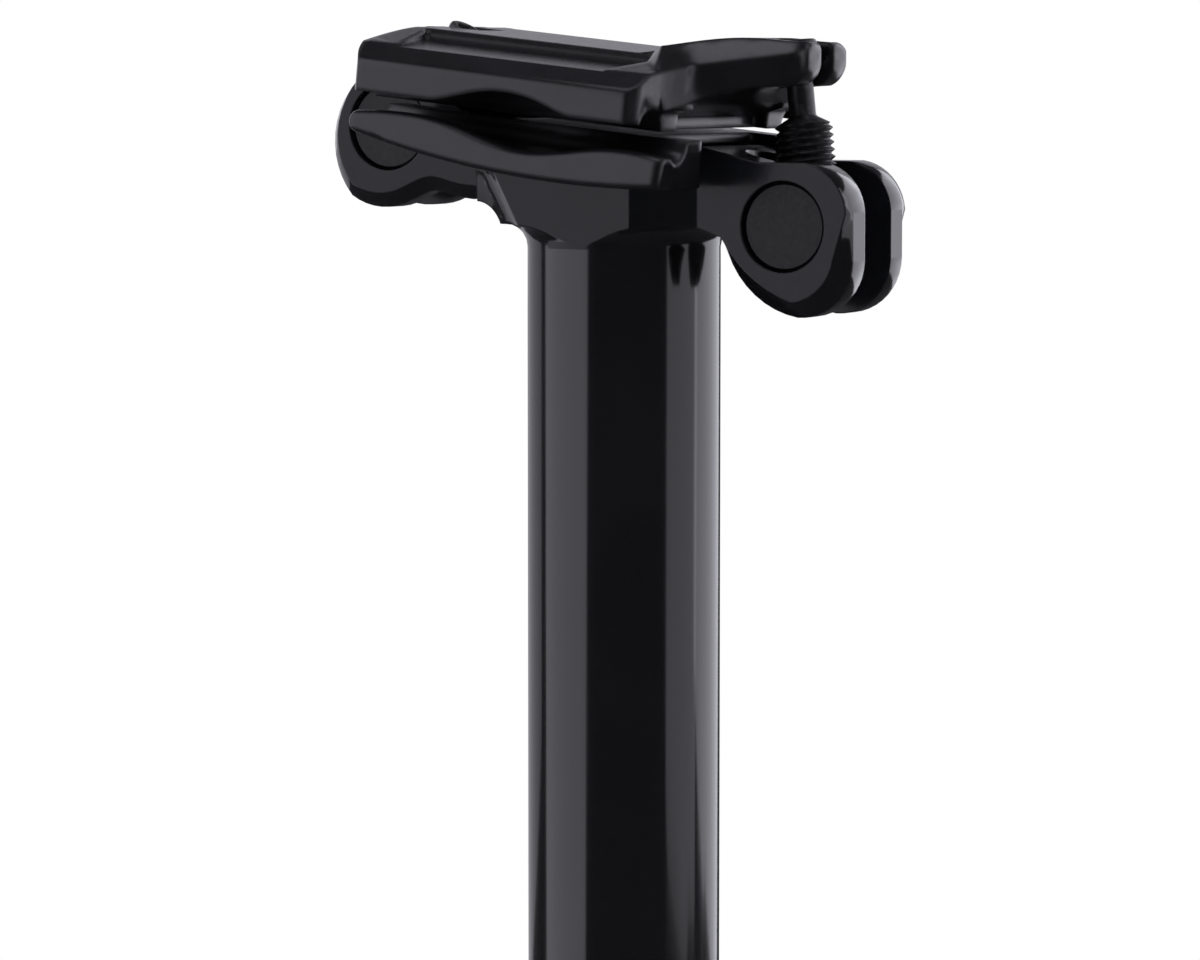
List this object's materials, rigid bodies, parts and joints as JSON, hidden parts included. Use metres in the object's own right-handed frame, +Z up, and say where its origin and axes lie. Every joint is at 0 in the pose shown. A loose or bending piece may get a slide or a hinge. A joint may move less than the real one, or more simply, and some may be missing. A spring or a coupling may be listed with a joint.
{
  "type": "suspension seatpost",
  "caption": "Black telescoping bicycle seatpost with a sprung sliding tube and a two-bolt tilting clamp for a saddle's rails.",
  "frame": {"origin": "on the post's axis, at the bottom end of the outer tube", "axes": "+Z up along the post, +X towards the front of the bicycle, +Y to its left"},
  "size_m": [0.0817, 0.0546, 0.4138],
  "materials": {
    "post_gloss": "gloss black anodised",
    "clamp_satin": "satin black anodised",
    "outer_anodised": "satin black anodised",
    "collar_anodised": "satin black anodised",
    "plug_anodised": "satin black anodised",
    "nut_black": "blackened, turned",
    "bolt_black": "blackened",
    "washer_steel": "plain",
    "seal_rubber": "matte",
    "core_rubber": "matte",
    "bushing_plastic": "matte",
    "seat_plastic": "matte",
    "key_brass": "plain",
    "plain_aluminium": "turned",
    "spring_steel": "oiled"
  },
  "bodies": {
    "outer": {"outer_tube": "outer_anodised", "seal_collar": "collar_anodised", "collar_o_ring": "seal_rubber", "wiper_seal": "seal_rubber", "upper_bushing": "bushing_plastic", "retaining_ring": "spring_steel"},
    "post": {"upper_post": "post_gloss", "foot_ring": "plain_aluminium", "lower_bushing": "bushing_plastic", "anti_rotation_keys": "key_brass", "top_out_ring": "seal_rubber", "spring_top_seat": "seat_plastic"},
    "saddle_clamp": {"lower_cradle": "clamp_satin", "upper_clamp": "clamp_satin"},
    "front_nut": {"front_barrel_nut": "nut_black"},
    "front_washer": {"front_half_moon_washer": "washer_steel"},
    "front_bolt": {"front_clamp_bolt": "bolt_black"},
    "rear_nut": {"rear_barrel_nut": "nut_black"},
    "rear_washer": {"rear_half_moon_washer": "washer_steel"},
    "rear_bolt": {"rear_clamp_bolt": "bolt_black"},
    "spring_seat": {"spring_bottom_seat": "seat_plastic", "elastomer_core": "core_rubber", "main_spring": "spring_steel"},
    "preload_plug": {"preload_plug": "plug_anodised", "plug_o_ring": "seal_rubber"}
  },
  "joints": [
    {"name": "suspension_travel", "type": "slide", "parent": "outer", "child": "post", "axis": [0, 0, -1], "range_m": [0, 0.05], "stiffness_N_per_m": 13000, "springref_m": -0.008, "deforming": ["main_spring"]},
    {"name": "saddle_tilt", "type": "hinge", "parent": "post", "child": "saddle_clamp", "pos_m": [0.0023, 0, 0.4113], "axis": [0, 1, 0], "range_deg": [0, 12]},
    {"name": "front_nut_pivot", "type": "hinge", "parent": "post", "child": "front_nut", "pos_m": [0.0293, 0, 0.3856], "axis": [0, 1, 0], "range_deg": [-6, 1]},
    {"name": "front_bolt_travel", "type": "slide", "parent": "front_nut", "child": "front_washer", "axis": [-0.1063, 0, 0.9943], "range_m": [-0.0055, 0.0005]},
    {"name": "front_bolt_turn", "type": "hinge", "parent": "front_washer", "child": "front_bolt", "pos_m": [0.02686, 0, 0.40847], "axis": [-0.1063, 0, 0.9943], "range_deg": [-1770, 10]},
    {"name": "rear_nut_pivot", "type": "hinge", "parent": "post", "child": "rear_nut", "pos_m": [-0.0328, 0, 0.3988], "axis": [0, 1, 0], "range_deg": [-10, 1]},
    {"name": "rear_bolt_travel", "type": "slide", "parent": "rear_nut", "child": "rear_washer", "axis": [0.5, 0, 0.866], "range_m": [-0.0005, 0.006]},
    {"name": "rear_bolt_turn", "type": "hinge", "parent": "rear_washer", "child": "rear_bolt", "pos_m": [-0.0261, 0, 0.41041], "axis": [0.5, 0, 0.866], "range_deg": [-10, 1980]},
    {"name": "preload_travel", "type": "slide", "parent": "outer", "child": "spring_seat", "axis": [0, 0, 1], "range_m": [0, 0.006]},
    {"name": "preload_turn", "type": "hinge", "parent": "spring_seat", "child": "preload_plug", "pos_m": [0, 0, 0.003], "axis": [0, 0, 1], "range_deg": [0, 1441]}
  ],
  "couplings": [
    {"joint": "front_nut_pivot", "follows": "saddle_tilt", "ratio": -0.3981},
    {"joint": "front_bolt_travel", "follows": "saddle_tilt", "m_per_rad": -0.023232},
    {"joint": "front_bolt_turn", "follows": "saddle_tilt", "ratio": -145.97},
    {"joint": "rear_nut_pivot", "follows": "saddle_tilt", "ratio": -0.7245},
    {"joint": "rear_bolt_travel", "follows": "saddle_tilt", "m_per_rad": 0.02607},
    {"joint": "rear_bolt_turn", "follows": "saddle_tilt", "ratio": 163.8},
    {"joint": "preload_turn", "follows": "preload_travel", "rad_per_m": 4188.8}
  ]
}
